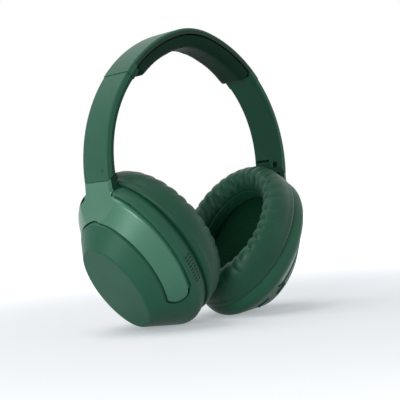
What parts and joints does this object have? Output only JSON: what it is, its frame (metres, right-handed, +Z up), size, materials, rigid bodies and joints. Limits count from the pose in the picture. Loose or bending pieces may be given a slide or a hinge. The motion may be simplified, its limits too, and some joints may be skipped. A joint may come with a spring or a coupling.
{
  "type": "folding over-ear headphone",
  "caption": "Wireless over-ear headphone with a padded band, sliding arms, fold hinges and tilting oval cups.",
  "frame": {"origin": "on the surface that the two cups stand on, below the middle of the arch", "axes": "+Z up through the top of the headband, +X from the wearer's left ear to the right ear, +Y the way the wearer faces"},
  "size_m": [0.166, 0.0806, 0.1788],
  "materials": {
    "shell_plastic": "matte moulded",
    "inner_plastic": "matte moulded",
    "yoke_paint": "satin metallic paint",
    "cushion_leather": "soft satin",
    "pad_leather": "soft matte",
    "ear_cloth": "matte",
    "steel": "brushed",
    "screw": "dark",
    "magnet": "satin",
    "diaphragm_film": "thin film",
    "board": "lacquered",
    "battery_wrap": "foil",
    "brass": "bare"
  },
  "bodies": {
    "headband": {"headband_shell": "shell_plastic", "headband_spring": "steel", "headband_pad_carrier": "inner_plastic", "headband_pad": "pad_leather", "left_band_end_cover": "shell_plastic", "right_band_end_cover": "shell_plastic"},
    "left_arm": {"left_arm_shell": "shell_plastic", "left_arm_cover": "shell_plastic", "left_slider": "steel", "left_fold_pin": "steel", "left_arm_screw": "screw"},
    "left_yoke": {"left_yoke_trim": "yoke_paint", "left_yoke_frame": "inner_plastic", "left_front_pivot_pin": "steel", "left_rear_pivot_pin": "steel"},
    "left_cup": {"left_cup_shell": "shell_plastic", "left_baffle": "inner_plastic", "left_driver_frame": "inner_plastic", "left_driver_magnet": "magnet", "left_diaphragm": "diaphragm_film", "left_cushion_plate": "inner_plastic", "left_grille_cloth": "ear_cloth", "left_ear_cushion": "cushion_leather", "left_circuit_board": "board", "charge_port": "steel", "audio_socket": "brass"},
    "right_arm": {"right_arm_shell": "shell_plastic", "right_arm_cover": "shell_plastic", "right_slider": "steel", "right_fold_pin": "steel", "right_arm_screw": "screw"},
    "right_yoke": {"right_yoke_trim": "yoke_paint", "right_yoke_frame": "inner_plastic", "right_front_pivot_pin": "steel", "right_rear_pivot_pin": "steel"},
    "right_cup": {"right_cup_shell": "shell_plastic", "right_baffle": "inner_plastic", "right_driver_frame": "inner_plastic", "right_driver_magnet": "magnet", "right_diaphragm": "diaphragm_film", "right_cushion_plate": "inner_plastic", "right_grille_cloth": "ear_cloth", "right_ear_cushion": "cushion_leather", "right_circuit_board": "board", "battery": "battery_wrap"},
    "power_button": {"power_button": "shell_plastic"},
    "mode_button": {"mode_button": "shell_plastic"}
  },
  "joints": [
    {"name": "left_extend", "type": "hinge", "parent": "headband", "child": "left_arm", "pos_m": [0.07781, 0, -0.00243], "axis": [0, 1, 0], "range_deg": [-6.88, 0]},
    {"name": "left_fold", "type": "hinge", "parent": "left_arm", "child": "left_yoke", "pos_m": [-0.07146, 0, 0.09432], "axis": [0, 1, 0], "range_deg": [-65, 0], "deforming": ["left_ear_cushion", "right_ear_cushion"]},
    {"name": "left_tilt", "type": "hinge", "parent": "left_yoke", "child": "left_cup", "pos_m": [-0.04657, 0, 0.02179], "axis": [0, 1, 0], "range_deg": [0, 15]},
    {"name": "right_extend", "type": "hinge", "parent": "headband", "child": "right_arm", "pos_m": [-0.07781, 0, -0.00243], "axis": [0, 1, 0], "range_deg": [0, 6.88]},
    {"name": "right_fold", "type": "hinge", "parent": "right_arm", "child": "right_yoke", "pos_m": [0.07146, 0, 0.09432], "axis": [0, 1, 0], "range_deg": [0, 65], "deforming": ["left_ear_cushion", "right_ear_cushion"]},
    {"name": "right_tilt", "type": "hinge", "parent": "right_yoke", "child": "right_cup", "pos_m": [0.04657, 0, 0.02179], "axis": [0, 1, 0], "range_deg": [-15, 0]},
    {"name": "power_button_press", "type": "slide", "parent": "right_cup", "child": "power_button", "axis": [-0.3492, 0.6856, 0.6387], "range_m": [0, 0.0004], "stiffness_N_per_m": 600},
    {"name": "mode_button_press", "type": "slide", "parent": "right_cup", "child": "mode_button", "axis": [-0.2042, 0.4928, 0.8458], "range_m": [0, 0.0004], "stiffness_N_per_m": 600}
  ]
}
